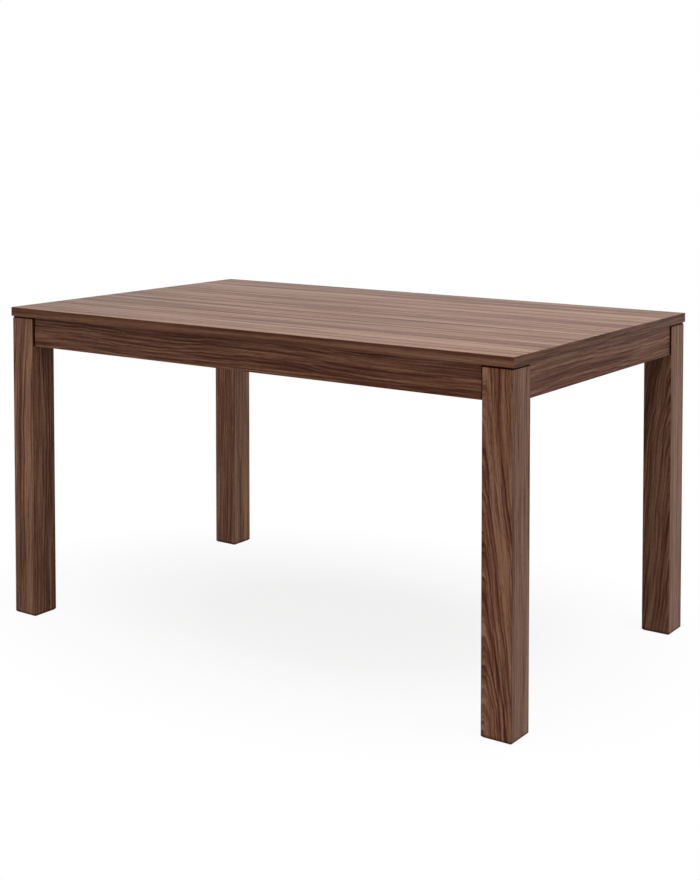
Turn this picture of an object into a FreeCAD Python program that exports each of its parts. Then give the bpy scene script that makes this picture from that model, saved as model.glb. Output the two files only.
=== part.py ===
"""Extending dining table: veneered top on four square legs, with two pull-out ends.

Frame: millimetres, +Z up, +X along the length, origin on the floor under the middle of the table.
Front is -Y and left is -X.  Distances called near and far are measured outwards from the middle.
"""
import FreeCAD, Part
import os

# Driving dimensions: name, value in millimetres, and what it measures.
SIZES = [
    ("table_length", 1400, "top, end to end, closed"),
    ("table_width", 840, "top, front to back"),
    ("table_height", 760, "floor to the top's upper face"),
    ("top_thickness", 22, "top and extension leaves"),
    ("top_edge_round", 1.5, "eased edges of the top and leaves"),
    ("top_overhang", 2.5, "top past the legs' outer faces"),
    ("leg_side", 70, "square section of a leg"),
    ("leg_arris", 1.5, "eased long edges of a leg"),
    ("leg_foot_chamfer", 3, "chamfer round a leg's foot"),
    ("glide_diameter", 46, "nylon glide under a leg"),
    ("glide_thickness", 2, "leg's foot above the floor"),
    ("glide_chamfer", 0.8, "chamfer round a glide"),
    ("plate_thickness", 4, "steel leg plate, which sets the shadow line over a leg"),
    ("plate_set_back", 2, "leg plate behind the leg's faces"),
    ("plate_wing", 70, "leg plate's wing past the leg's inner face"),
    ("plate_side_gap", 2.5, "leg plate's wing clear of the long apron"),
    ("shadow_gap", 3.5, "open joint between a leg and an apron"),
    ("apron_height", 70, "long apron, under the top"),
    ("apron_thickness", 20, "all aprons"),
    ("apron_set_back", 4.5, "aprons behind the legs' outer faces"),
    ("apron_edge_round", 1, "eased lower edges of the aprons"),
    ("batten_side", 18, "square fixing batten inside a long apron"),
    ("bracket_arm", 42, "angle bracket, along the long apron"),
    ("bracket_thickness", 2.5, "angle bracket's sheet"),
    ("bracket_height", 50, "angle bracket, upright"),
    ("bracket_lift", 6, "angle bracket above the apron's lower edge"),
    ("bracket_leg_inset", 3, "angle bracket inside the leg's inner edge"),
    ("bearer_thickness", 25, "slide bearer under the top"),
    ("bearer_height", 56, "slide bearer, upright"),
    ("bearer_end_gap", 2.5, "slide bearer clear of the leg plate's wing"),
    ("cross_rail_width", 60, "cross rails, along the table"),
    ("cross_rail_thickness", 12, "cross rails, upright"),
    ("leaf_rail_spacing", 520, "between the two rails that carry the stored leaves"),
    ("extension", 450, "leaf width, which is also how far an end pulls out"),
    ("leaf_pad_side", 30, "square felt pad under a leaf"),
    ("leaf_pad_thickness", 1, "felt pad"),
    ("leaf_pad_inset", 40, "felt pad inside the leaf's long edge"),
    ("running_clearance", 0.6, "pull-out end under the top"),
    ("slide_leg_clearance", 1.5, "slides inside the legs' inner faces"),
    ("slide_depth", 12.7, "telescopic slide, across"),
    ("slide_height", 35, "telescopic slide, upright"),
    ("slide_middle_gap", 148, "between the slides and runners of the two ends, at the table's middle"),
    ("slide_wall", 1.5, "sheet of a slide member"),
    ("slide_clearance", 0.4, "between slide members"),
    ("slide_end_inset", 5, "slide inside the bearer's end"),
    ("runner_thickness", 20, "runner of a pull-out end"),
    ("runner_height", 40, "runner of a pull-out end, upright"),
    ("block_side", 30, "glue block between a runner and its end apron"),
    ("block_drop", 4, "glue block below the runner's upper edge"),
    ("screw_head_radius", 4, "countersunk head"),
    ("screw_head_height", 2, "countersunk head"),
    ("screw_radius", 2, "screw shank"),
    ("screw_length", 18, "countersunk screw, overall"),
    ("rail_screw_length", 32, "long screw through a cross rail"),
    ("screw_fit", 0.1, "bored hole round a screw"),
    ("screw_inset", 14, "leg plate screws inside the plate's edges"),
    ("bracket_screw_inset", 12, "bracket screws inside the bracket's edges"),
]

doc = FreeCAD.newDocument("extending_table")
sheet = doc.addObject("Spreadsheet::Sheet", "Sizes")
for row, (alias, value, meaning) in enumerate(SIZES, start=1):
    sheet.set(f"A{row}", meaning)
    sheet.set(f"B{row}", str(value))
    sheet.setAlias(f"B{row}", alias)
doc.recompute()


class SheetNames:
    """Spells a sheet value for an expression: s.leg_side is 'Sizes.leg_side'."""

    def __getattr__(self, alias):
        return f"Sizes.{alias}"


s = SheetNames()
nodes = []
low_corner = {}

UP = (0, 0, 1)
DOWN = (0, 0, -1)
SIDES_X = (("left", -1), ("right", 1))
SIDES_Y = (("front", -1), ("back", 1))


def low(sign, near, far):
    """Low coordinate of a piece that reaches from near to far on one side of the middle."""
    return f"({near})" if sign > 0 else f"-({far})"


def at(sign, distance):
    """Coordinate at a distance from the middle, on one side of it."""
    return f"{sign} * ({distance})"


def bind_place(obj, x, y, z):
    """Bind an object's position to expressions."""
    obj.setExpression("Placement.Base.x", x)
    obj.setExpression("Placement.Base.y", y)
    obj.setExpression("Placement.Base.z", z)


def bind_box(box, length, width, height):
    """Bind a box feature's three sizes to expressions."""
    box.setExpression("Length", length)
    box.setExpression("Width", width)
    box.setExpression("Height", height)


def board(label, x, y, z, length, width, height):
    """Body with one rectangular board, its low corner at x, y, z."""
    body = doc.addObject("PartDesign::Body", label)
    body.Label = label
    bind_place(body, x, y, z)
    bind_box(body.newObject("PartDesign::AdditiveBox", f"{label}_board"), length, width, height)
    low_corner[label] = (x, y, z)
    nodes.append(body)
    doc.recompute()
    return body


def local(body, x, y, z):
    """The same place measured from a body's low corner."""
    corner = low_corner[body.Label]
    return [f"({place}) - ({start})" for place, start in zip((x, y, z), corner)]


def add_board(body, x, y, z, length, width, height):
    """Second rectangular board in a body, placed in the table's frame."""
    box = body.newObject("PartDesign::AdditiveBox", f"{body.Label}_wing")
    bind_box(box, length, width, height)
    bind_place(box, *local(body, x, y, z))
    doc.recompute()


def edges_where(body, keep):
    """Names of the body's edges that pass a test on the edge's box, in the body's own frame."""
    return [f"Edge{i}" for i, edge in enumerate(body.Tip.Shape.Edges, start=1) if keep(edge.BoundBox)]


def ease(body, kind, size_name, size, keep):
    """Fillet or chamfer the edges that pass the test."""
    base = body.Tip
    names = edges_where(body, keep)
    feature = body.newObject(f"PartDesign::{kind}", f"{body.Label}_eased")
    feature.Base = (base, names)
    feature.setExpression(size_name, size)
    doc.recompute()


def round_edges(body, radius, keep):
    """Round the edges that pass the test."""
    ease(body, "Fillet", "Radius", radius, keep)


def chamfer_edges(body, size, keep):
    """Chamfer the edges that pass the test."""
    ease(body, "Chamfer", "Size", size, keep)


TOUCH = 0.01


def every_edge(box):
    """True for any edge."""
    return True


def foot_edge(box):
    """True for an edge in the body's lowest plane."""
    return box.ZMax < TOUCH


def rising_edge(box):
    """True for an edge that climbs."""
    return box.ZLength > TOUCH


def turned(direction):
    """Rotation that turns +Z to a direction."""
    return FreeCAD.Rotation(FreeCAD.Vector(*UP), FreeCAD.Vector(*direction))


def bore(body, x, y, z, direction, radius, depth, sink=False):
    """Hole in a body from a place in the table's frame, with a countersink if a head seats there."""
    feature = body.newObject("PartDesign::SubtractiveCylinder", f"{body.Label}_bore")
    feature.setExpression("Radius", radius)
    feature.setExpression("Height", depth)
    features = [feature]
    if sink:
        cone = body.newObject("PartDesign::SubtractiveCone", f"{body.Label}_sink")
        cone.setExpression("Radius1", f"{s.screw_head_radius} + {s.screw_fit}")
        cone.setExpression("Radius2", f"{s.screw_radius} + {s.screw_fit}")
        cone.setExpression("Height", s.screw_head_height)
        features.append(cone)
    for feature in features:
        feature.Placement = FreeCAD.Placement(FreeCAD.Vector(), turned(direction))
        bind_place(feature, *local(body, x, y, z))
    doc.recompute()


def screw(name, x, y, z, direction, length, holder, target):
    """Countersunk screw with its head flush at a place, through the holder and into the target."""
    head = doc.addObject("Part::Cone", f"{name}_head")
    head.setExpression("Radius1", s.screw_head_radius)
    head.setExpression("Radius2", s.screw_radius)
    head.setExpression("Height", s.screw_head_height)
    shank = doc.addObject("Part::Cylinder", f"{name}_shank")
    shank.setExpression("Radius", s.screw_radius)
    shank.setExpression("Height", length)
    for piece in (head, shank):
        piece.Placement = FreeCAD.Placement(FreeCAD.Vector(), turned(direction))
        bind_place(piece, x, y, z)
    whole = doc.addObject("Part::Fuse", name)
    whole.Base = head
    whole.Tool = shank
    hole_radius = f"{s.screw_radius} + {s.screw_fit}"
    hole_depth = f"{length} + {s.screw_fit}"
    bore(holder, x, y, z, direction, hole_radius, hole_depth, sink=True)
    bore(target, x, y, z, direction, hole_radius, hole_depth)
    return whole


def group(label, pieces):
    """One node of several separate, identical solids."""
    compound = doc.addObject("Part::Compound", label)
    compound.Label = label
    compound.Links = pieces
    nodes.append(compound)


# Places that several pieces share, as expressions of the sheet.
half_length = f"{s.table_length} / 2"
half_width = f"{s.table_width} / 2"
top_under = f"({s.table_height} - {s.top_thickness})"
leg_out_x = f"({half_length} - {s.top_overhang})"
leg_in_x = f"({leg_out_x} - {s.leg_side})"
leg_out_y = f"({half_width} - {s.top_overhang})"
leg_in_y = f"({leg_out_y} - {s.leg_side})"
leg_top = f"({top_under} - {s.plate_thickness})"
apron_bottom = f"({top_under} - {s.apron_height})"
apron_out_y = f"({leg_out_y} - {s.apron_set_back})"
apron_in_y = f"({apron_out_y} - {s.apron_thickness})"
end_out_x = f"({leg_out_x} - {s.apron_set_back})"
end_in_x = f"({end_out_x} - {s.apron_thickness})"
end_half = f"({leg_in_y} - {s.shadow_gap})"
running_top = f"({top_under} - {s.running_clearance})"
bearer_half = f"({leg_in_x} - {s.plate_wing} - {s.bearer_end_gap})"
bearer_bottom = f"({top_under} - {s.bearer_height})"
slide_out_y = f"({leg_in_y} - {s.slide_leg_clearance})"
slide_in_y = f"({slide_out_y} - {s.slide_depth})"
slide_far_x = f"({bearer_half} - {s.slide_end_inset})"
slide_near_x = f"({s.slide_middle_gap} / 2)"
slide_length = f"({slide_far_x} - {slide_near_x})"
bearer_out_y = f"({slide_out_y} + {s.bearer_thickness})"
runner_in_y = f"({slide_in_y} - {s.runner_thickness})"
runner_bottom = f"({running_top} - {s.runner_height})"
slide_middle_z = f"({runner_bottom} + {s.runner_height} / 2)"
plate_near_y = f"({leg_in_y} + {s.plate_set_back})"
plate_wing_far_y = f"({apron_in_y} - {s.plate_side_gap})"
wing_near_x = f"({leg_in_x} - {s.plate_wing})"

# Top: one veneered panel, eased all round.
table_top = board(
    "table_top", f"-({half_length})", f"-({half_width})", top_under,
    s.table_length, s.table_width, s.top_thickness)
round_edges(table_top, s.top_edge_round, every_edge)

# Legs, each with its steel plate above and its nylon glide below.
plate_screws = []
legs = {}
for side_x, sx in SIDES_X:
    for side_y, sy in SIDES_Y:
        corner = f"{side_y}_{side_x}"
        leg = board(
            f"leg_{corner}", low(sx, leg_in_x, leg_out_x), low(sy, leg_in_y, leg_out_y), s.glide_thickness,
            s.leg_side, s.leg_side, f"{leg_top} - {s.glide_thickness}")
        chamfer_edges(leg, s.leg_foot_chamfer, foot_edge)
        chamfer_edges(leg, s.leg_arris, rising_edge)
        legs[corner] = leg

        pad_near_x = f"({leg_in_x} + {s.plate_set_back})"
        pad_far_x = f"({leg_out_x} - {s.plate_set_back})"
        pad_far_y = f"({leg_out_y} - {s.plate_set_back})"
        pad_side = f"({s.leg_side} - 2 * {s.plate_set_back})"
        plate = board(
            f"leg_plate_{corner}", low(sx, pad_near_x, pad_far_x), low(sy, plate_near_y, pad_far_y), leg_top,
            pad_side, pad_side, s.plate_thickness)
        add_board(
            plate, low(sx, wing_near_x, pad_near_x), low(sy, plate_near_y, plate_wing_far_y), leg_top,
            f"{s.plate_wing} + {s.plate_set_back}", f"{plate_wing_far_y} - {plate_near_y}", s.plate_thickness)

        pad_screw_y = at(sy, f"{leg_out_y} - {s.leg_side} / 2")
        pad_screws_x = (f"{pad_near_x} + {s.screw_inset}", f"{pad_far_x} - {s.screw_inset}")
        for number, screw_x in enumerate(pad_screws_x):
            plate_screws.append(screw(
                f"leg_screw_{corner}_{number}", at(sx, screw_x), pad_screw_y, top_under, DOWN,
                s.screw_length, plate, leg))
        wing_screw_y = at(sy, f"({plate_near_y} + {plate_wing_far_y}) / 2")
        wing_screws_x = (f"{wing_near_x} + {s.screw_inset}", f"{leg_in_x} - {s.screw_inset}")
        for number, screw_x in enumerate(wing_screws_x):
            plate_screws.append(screw(
                f"top_screw_{corner}_{number}", at(sx, screw_x), wing_screw_y, leg_top, UP,
                s.screw_length, plate, table_top))

        glide = doc.addObject("PartDesign::Body", f"leg_glide_{corner}")
        disc = glide.newObject("PartDesign::AdditiveCylinder", f"leg_glide_{corner}_disc")
        disc.setExpression("Radius", f"{s.glide_diameter} / 2")
        disc.setExpression("Height", s.glide_thickness)
        bind_place(
            glide, at(sx, f"{leg_out_x} - {s.leg_side} / 2"), at(sy, f"{leg_out_y} - {s.leg_side} / 2"), "0")
        nodes.append(glide)
        doc.recompute()
        chamfer_edges(glide, s.glide_chamfer, foot_edge)
group("leg_plate_screws", plate_screws)

# Long aprons hang from the top on battens, and angle brackets tie them to the legs.
bracket_screws = []
for side_y, sy in SIDES_Y:
    apron_half = f"({leg_in_x} - {s.shadow_gap})"
    apron = board(
        f"long_apron_{side_y}", f"-{apron_half}", low(sy, apron_in_y, apron_out_y), apron_bottom,
        f"2 * {apron_half}", s.apron_thickness, s.apron_height)
    round_edges(apron, s.apron_edge_round, lambda box: foot_edge(box) and box.XLength > box.YLength)
    board(
        f"fixing_batten_{side_y}", f"-{bearer_half}", low(sy, f"{apron_in_y} - {s.batten_side}", apron_in_y),
        f"{top_under} - {s.batten_side}", f"2 * {bearer_half}", s.batten_side, s.batten_side)
    for side_x, sx in SIDES_X:
        corner = f"{side_y}_{side_x}"
        bracket_bottom = f"({apron_bottom} + {s.bracket_lift})"
        bracket_near_y = f"({leg_in_y} + {s.bracket_leg_inset})"
        sheet_near_y = f"({apron_in_y} - {s.bracket_thickness})"
        sheet_near_x = f"({leg_in_x} - {s.bracket_thickness})"
        bracket = board(
            f"apron_bracket_{corner}", low(sx, f"{leg_in_x} - {s.bracket_arm}", leg_in_x),
            low(sy, sheet_near_y, apron_in_y), bracket_bottom,
            s.bracket_arm, s.bracket_thickness, s.bracket_height)
        add_board(
            bracket, low(sx, sheet_near_x, leg_in_x), low(sy, bracket_near_y, apron_in_y), bracket_bottom,
            s.bracket_thickness, f"{apron_in_y} - {bracket_near_y}", s.bracket_height)
        middle_z = f"{bracket_bottom} + {s.bracket_height} / 2"
        bracket_screws.append(screw(
            f"apron_screw_{corner}", at(sx, f"{leg_in_x} - {s.bracket_arm} + {s.bracket_screw_inset}"),
            at(sy, sheet_near_y), middle_z, (0, sy, 0), s.screw_length, bracket, apron))
        bracket_screws.append(screw(
            f"bracket_leg_screw_{corner}", at(sx, sheet_near_x),
            at(sy, f"{bracket_near_y} + {s.bracket_screw_inset}"), middle_z, (sx, 0, 0), s.screw_length,
            bracket, legs[corner]))
group("bracket_screws", bracket_screws)

# Slide bearers under the top, and the cross rails that tie them and carry the stored leaves.
bearers = {}
for side_y, sy in SIDES_Y:
    bearers[side_y] = board(
        f"slide_bearer_{side_y}", f"-{bearer_half}", low(sy, slide_out_y, bearer_out_y), bearer_bottom,
        f"2 * {bearer_half}", s.bearer_thickness, s.bearer_height)
rail_screws = []
rail_bottom = f"({bearer_bottom} - {s.cross_rail_thickness})"
leaf_rail_near = f"({s.leaf_rail_spacing} / 2 - {s.cross_rail_width} / 2)"
end_rail_near = f"({bearer_half} - {s.cross_rail_width})"
for kind, near in (("leaf_rail", leaf_rail_near), ("end_cross_rail", end_rail_near)):
    for side_x, sx in SIDES_X:
        far = f"{near} + {s.cross_rail_width}"
        rail = board(
            f"{kind}_{side_x}", low(sx, near, far), f"-{bearer_out_y}", rail_bottom,
            s.cross_rail_width, f"2 * {bearer_out_y}", s.cross_rail_thickness)
        for side_y, sy in SIDES_Y:
            rail_screws.append(screw(
                f"{kind}_screw_{side_x}_{side_y}", at(sx, f"{near} + {s.cross_rail_width} / 2"),
                at(sy, f"{bearer_out_y} - {s.bearer_thickness} / 2"), rail_bottom, UP,
                s.rail_screw_length, rail, bearers[side_y]))
group("rail_screws", rail_screws)

# Two extension leaves, stored crosswise on the leaf rails with felt pads under each.
leaf_step = f"({s.top_thickness} + {s.leaf_pad_thickness})"
pads = []
for level, name in enumerate(("leaf_lower", "leaf_upper")):
    pad_bottom = f"{bearer_bottom} + {level} * {leaf_step}"
    leaf = board(
        name, f"-({half_width})", f"-{s.extension} / 2", f"{pad_bottom} + {s.leaf_pad_thickness}",
        s.table_width, s.extension, s.top_thickness)
    round_edges(leaf, s.top_edge_round, every_edge)
    for side_x, sx in SIDES_X:
        for side_y, sy in SIDES_Y:
            pad = doc.addObject("Part::Box", f"leaf_pad_{level}_{side_x}_{side_y}")
            bind_box(pad, s.leaf_pad_side, s.leaf_pad_side, s.leaf_pad_thickness)
            pad_near_x = f"({s.leaf_rail_spacing} / 2 - {s.leaf_pad_side} / 2)"
            pad_far_y = f"({s.extension} / 2 - {s.leaf_pad_inset})"
            bind_place(
                pad, low(sx, pad_near_x, f"{pad_near_x} + {s.leaf_pad_side}"),
                low(sy, f"{pad_far_y} - {s.leaf_pad_side}", pad_far_y), pad_bottom)
            pads.append(pad)
group("leaf_pads", pads)


def channel(label, sx, sy, near_y, far_y, height, web_far):
    """Slide member of C section, with its web on the far or the near side."""
    depth = f"({far_y} - {near_y})"
    bottom = f"{slide_middle_z} - ({height}) / 2"
    body = board(
        label, low(sx, slide_near_x, slide_far_x), low(sy, near_y, far_y), bottom,
        slide_length, depth, height)
    hollow = body.newObject("PartDesign::SubtractiveBox", f"{label}_hollow")
    bind_box(hollow, slide_length, f"{depth} - {s.slide_wall}", f"{height} - 2 * {s.slide_wall}")
    web_low = web_far == (sy < 0)
    bind_place(hollow, "0", s.slide_wall if web_low else "0", s.slide_wall)
    doc.recompute()


# Telescopic slides: the outer member on its bearer, the inner one on its runner, one between.
step = f"({s.slide_wall} + {s.slide_clearance})"
for side_x, sx in SIDES_X:
    for side_y, sy in SIDES_Y:
        corner = f"{side_y}_{side_x}"
        open_near = f"({slide_in_y} + {s.slide_clearance})"
        channel(f"slide_outer_{corner}", sx, sy, open_near, slide_out_y, s.slide_height, True)
        channel(
            f"slide_middle_{corner}", sx, sy, open_near, f"({slide_out_y} - {step})",
            f"({s.slide_height} - 2 * {step})", True)
        channel(
            f"slide_inner_{corner}", sx, sy, slide_in_y, f"({slide_out_y} - 2 * {step})",
            f"({s.slide_height} - 4 * {step})", False)

# Pull-out ends: the end apron with two runners glued behind it.
for side_x, sx in SIDES_X:
    end_apron = board(
        f"end_apron_{side_x}", low(sx, end_in_x, end_out_x), f"-{end_half}", apron_bottom,
        s.apron_thickness, f"2 * {end_half}", f"{running_top} - {apron_bottom}")
    round_edges(end_apron, s.apron_edge_round, lambda box: foot_edge(box) and box.YLength > box.XLength)
    blocks = []
    for side_y, sy in SIDES_Y:
        board(
            f"runner_{side_y}_{side_x}", low(sx, slide_near_x, end_in_x), low(sy, runner_in_y, slide_in_y),
            runner_bottom, f"{end_in_x} - {slide_near_x}", s.runner_thickness, s.runner_height)
        block = doc.addObject("Part::Box", f"runner_block_{side_y}_{side_x}")
        bind_box(block, s.block_side, s.block_side, f"{s.runner_height} - {s.block_drop}")
        bind_place(
            block, low(sx, f"{end_in_x} - {s.block_side}", end_in_x),
            low(sy, f"{runner_in_y} - {s.block_side}", runner_in_y), runner_bottom)
        blocks.append(block)
    group(f"runner_blocks_{side_x}", blocks)

doc.recompute()
for obj in doc.Objects:
    if "Invalid" in obj.State or "Error" in obj.State:
        raise RuntimeError(f"{obj.Label} failed to build: {obj.State}")
for node in nodes:
    if node.Shape.isNull() or not node.Shape.isValid():
        raise RuntimeError(f"{node.Label} has no valid shape")

os.makedirs("parts", exist_ok=True)
for node in nodes:
    node.Shape.exportStep(os.path.join("parts", f"{node.Label}.step"))
    print(node.Label, len(node.Shape.Solids), round(node.Shape.Volume))
print(len(nodes), "sub-parts")
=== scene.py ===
import math

import bmesh
import bpy
from mathutils import Matrix, Vector


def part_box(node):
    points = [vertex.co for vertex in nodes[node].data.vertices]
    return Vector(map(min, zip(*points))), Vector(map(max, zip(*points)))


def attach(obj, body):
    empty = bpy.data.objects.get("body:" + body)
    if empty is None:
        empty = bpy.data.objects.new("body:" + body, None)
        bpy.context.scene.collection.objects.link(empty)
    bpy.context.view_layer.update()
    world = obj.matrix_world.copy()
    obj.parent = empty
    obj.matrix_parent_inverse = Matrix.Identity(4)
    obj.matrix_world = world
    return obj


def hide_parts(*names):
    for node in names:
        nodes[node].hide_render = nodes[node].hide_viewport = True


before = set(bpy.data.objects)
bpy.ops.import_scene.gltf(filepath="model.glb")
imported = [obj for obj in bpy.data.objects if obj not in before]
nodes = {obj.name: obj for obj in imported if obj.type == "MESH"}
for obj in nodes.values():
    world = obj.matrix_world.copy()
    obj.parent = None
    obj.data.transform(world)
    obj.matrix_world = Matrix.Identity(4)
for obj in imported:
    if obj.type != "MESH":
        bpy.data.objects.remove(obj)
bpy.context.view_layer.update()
CORNERS = ("front_left", "front_right", "back_left", "back_right")

# Legs: four square legs of solid core with walnut veneer upright on every face, chamfered at the foot so
# that the veneer doesn't chip. Each is screwed to a steel plate under the top. Painted shade darkens the
# upper ends in the gap under the top, the feet near the floor and the faces in the open joints to the
# aprons.
# Shades and greys of each leg's front and back and of its sides: partly the leaf's own tone, partly painted
# light and shade for how each face is lit. The faces turned under the table are darker, the back left leg is
# lighter, and painted sheen greys some faces.
LEG_LEAVES = {
    "front_left": {"leaf": 3.1, "arc": 0.25, "shades": (1.56, 0.74), "sheen_greys": (0.19, 0.0)},
    "front_right": {"leaf": 8.4, "arc": 0.3, "shades": (1.07, 0.77), "sheen_greys": (0.0, 0.18)},
    "back_left": {"leaf": 12.7, "arc": 0.2, "shades": (2.3, 1.66), "sheen_greys": (0.26, 0.33)},
    "back_right": {"leaf": 17.9, "arc": 0.35, "shades": (0.64, 1.2), "sheen_greys": (0.0, 0.34)}}
LEG_RINGS = 150.0
LEG_CONTRAST = 1.2
LEG_SHEEN = 0.13
FLAME_TAPER = {"front_left": 0.03, "front_right": 0.08, "back_left": 0.02, "back_right": 0.1}
FLAME_ASIDE = {"front_left": 0.06, "front_right": -0.03, "back_left": 0.05, "back_right": 0.04}
FLAME_DEPTH = 0.016
FLAME_WANDER = 0.035
WANDER_WAVES = 3.0
WANDER_DETAIL = 2.0
# Painted shade: a black-brown, dull colour that stands in for the shade in the open joints and in the gap
# above each leg, and for the contact shadow at the foot.
PAINTED_SHADE_BLACK = (0.024, 0.006, 0.001, 1)
PAINTED_SHADE_DULL = 0.95
PAINTED_SHADE_DEPTH = (0.012, 0.0168)
PAINTED_SHADE_FACING = 0.8
FOOT_PAINTED_SHADE = 0.85
FOOT_SLOPE = (-0.3, -0.7)
FOOT_SHADE_BAND = (0.004, 0.010)


def add_node(tree, kind, values=None, **settings):
    """Node in a tree, with its settings, and a number, colour or socket for each input named."""
    node = tree.nodes.new(kind)
    for name, setting in settings.items():
        setattr(node, name, setting)
    for socket, value in (values or {}).items():
        if isinstance(value, bpy.types.NodeSocket):
            tree.links.new(value, node.inputs[socket])
        else:
            node.inputs[socket].default_value = value
    return node


def calc(tree, operation, *terms):
    """Result of one sum on numbers or sockets."""
    return add_node(tree, "ShaderNodeMath", dict(enumerate(terms)), operation=operation).outputs[0]


def vector(tree, x, y, z):
    """Vector of three numbers or sockets."""
    return add_node(tree, "ShaderNodeCombineXYZ", {"X": x, "Y": y, "Z": z}).outputs[0]


def noise(tree, spot, detail, roughness=0.5):
    """Noise value at a vector."""
    values = {"Vector": spot, "Scale": 1.0, "Detail": detail, "Roughness": roughness}
    return add_node(tree, "ShaderNodeTexNoise", values).outputs[0]


def ramp(tree, value, stops):
    """Colour for a value, from stops of position and colour."""
    node = add_node(tree, "ShaderNodeValToRGB", {"Fac": value})
    while len(node.color_ramp.elements) < len(stops):
        node.color_ramp.elements.new(0.5)
    for element, (position, colour) in zip(node.color_ramp.elements, stops):
        element.position = position
        element.color = (*colour, 1)
    return node.outputs[0]


def between(tree, value, span, to_low=0.0, to_high=1.0):
    """Value carried from one span to another, and held at its ends."""
    low, high = span
    values = {"Value": value, "From Min": low, "From Max": high, "To Min": to_low, "To Max": to_high}
    return add_node(tree, "ShaderNodeMapRange", values).outputs[0]


def centred(tree, value, weight):
    """Value about its middle, times a weight."""
    return calc(tree, "MULTIPLY", calc(tree, "SUBTRACT", value, 0.5), weight)


def pick(tree, mask, first, second):
    """First number where a mask is 0, and second where it is 1."""
    return add_node(tree, "ShaderNodeMix", {0: mask, 2: first, 3: second}).outputs[0]


def blend_colour(tree, share, first, second, blend_type="MIX"):
    """Mix of two colours."""
    values = {0: share, 6: first, 7: second}
    return add_node(tree, "ShaderNodeMix", values, data_type="RGBA", blend_type=blend_type).outputs[2]


# Walnut figure, shared by all veneered pieces: growth rings that waver and close into arcs, over broad
# bands of colour, fine streaks and dark pores. A layer of it has waves per metre along and across the
# grain, a shift of its own, its detail and, where it is set, its roughness.
BENDS = (1.3, 5.0, 0.0, 1.5)
BEND_REACH = 0.30
RIPPLES = (17.0, 38.0, 3.3, 3.0)
RIPPLE_REACH = 0.010
RING_VARIETY = 0.45
RING_DETAIL = 1.0
RING_SHIFT = 2.6
LATE_WOOD = (0.25, 0.97)
LATE_CURVE = 1.6
LATE_WEIGHT = 0.62
PATCHES = (4.0, 36.0, 7.1, 2.0)
PATCH_EDGE = (0.38, 0.62)
PATCH_LEAST = 0.1
BAND_WAVES = 40.0
BAND_ROW = 0.37
BAND_DETAIL = 4.0
BAND_ROUGHNESS = 0.66
BAND_WEIGHT = 1.45
STREAKS = (4.5, 230.0, 5.3, 3.0, 0.6)
STREAK_WEIGHT = 1.75
FIBRES = (16.0, 800.0, 9.7, 2.0)
FIBRE_WEIGHT = 0.80
FIBRE_RELIEF = 0.4
PORES = (70.0, 1700.0, 2.1, 1.0)
PORE_EDGE = (0.57, 0.68)
PORE_SHARE = 0.7
TONE_BASE = 0.62
WEAR_TONES = (0.2, 0.8)
WEAR = 0.06
WALNUT_DARK = (0.066, 0.0145, 0.006)
WALNUT_MID = (0.200, 0.0765, 0.040)
WALNUT_LIGHT = (0.370, 0.191, 0.110)
WALNUT_TONES = ((0.05, WALNUT_DARK), (0.50, WALNUT_MID), (0.95, WALNUT_LIGHT))
WALNUT_PORE = (0.034, 0.013, 0.008, 1)
# Greyish colour mixed in as painted sheen.
WALNUT_SHEEN_GREY = (0.152, 0.128, 0.100, 1)


def figure_group(name, inputs):
    """Node group for the figure of a wood: its tree, what it is given, and where its results go."""
    tree = bpy.data.node_groups.new(name, "ShaderNodeTree")
    for socket in inputs:
        tree.interface.new_socket(socket, in_out="INPUT", socket_type="NodeSocketFloat")
    tree.interface.new_socket("Color", in_out="OUTPUT", socket_type="NodeSocketColor")
    for socket in ("Roughness", "Height"):
        tree.interface.new_socket(socket, in_out="OUTPUT", socket_type="NodeSocketFloat")
    return tree, tree.nodes.new("NodeGroupInput").outputs, tree.nodes.new("NodeGroupOutput").inputs


def layer(tree, given, along_waves, across_waves, shift, detail, roughness=0.5):
    """Noise on a leaf, stretched along the grain."""
    along = calc(tree, "MULTIPLY", given["Along"], along_waves)
    across = calc(tree, "MULTIPLY", given["Across"], across_waves)
    leaf = calc(tree, "ADD", given["Leaf"], shift)
    return noise(tree, vector(tree, along, across, leaf), detail, roughness)


def ring_depth(tree, given):
    """Depth in the trunk at a place on a leaf, which bends and ripples along the grain."""
    bends = centred(tree, layer(tree, given, *BENDS), given["Arc"])
    ripples = centred(tree, layer(tree, given, *RIPPLES), RIPPLE_REACH)
    depth = calc(tree, "ADD", given["Across"], calc(tree, "MULTIPLY", bends, BEND_REACH))
    return calc(tree, "ADD", depth, ripples)


def late_wood(tree, given, depth):
    """Dark late wood of the growth rings, unevenly spaced and faint in patches."""
    rings = calc(tree, "MULTIPLY", depth, given["Rings"])
    spot = vector(tree, calc(tree, "MULTIPLY", rings, RING_VARIETY), 0.0, given["Leaf"])
    rings = calc(tree, "ADD", rings, centred(tree, noise(tree, spot, RING_DETAIL), RING_SHIFT))
    late = between(tree, calc(tree, "FRACT", rings), LATE_WOOD)
    patches = between(tree, layer(tree, given, *PATCHES), PATCH_EDGE, PATCH_LEAST, 1.0)
    return calc(tree, "MULTIPLY", calc(tree, "POWER", late, LATE_CURVE), patches)


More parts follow.
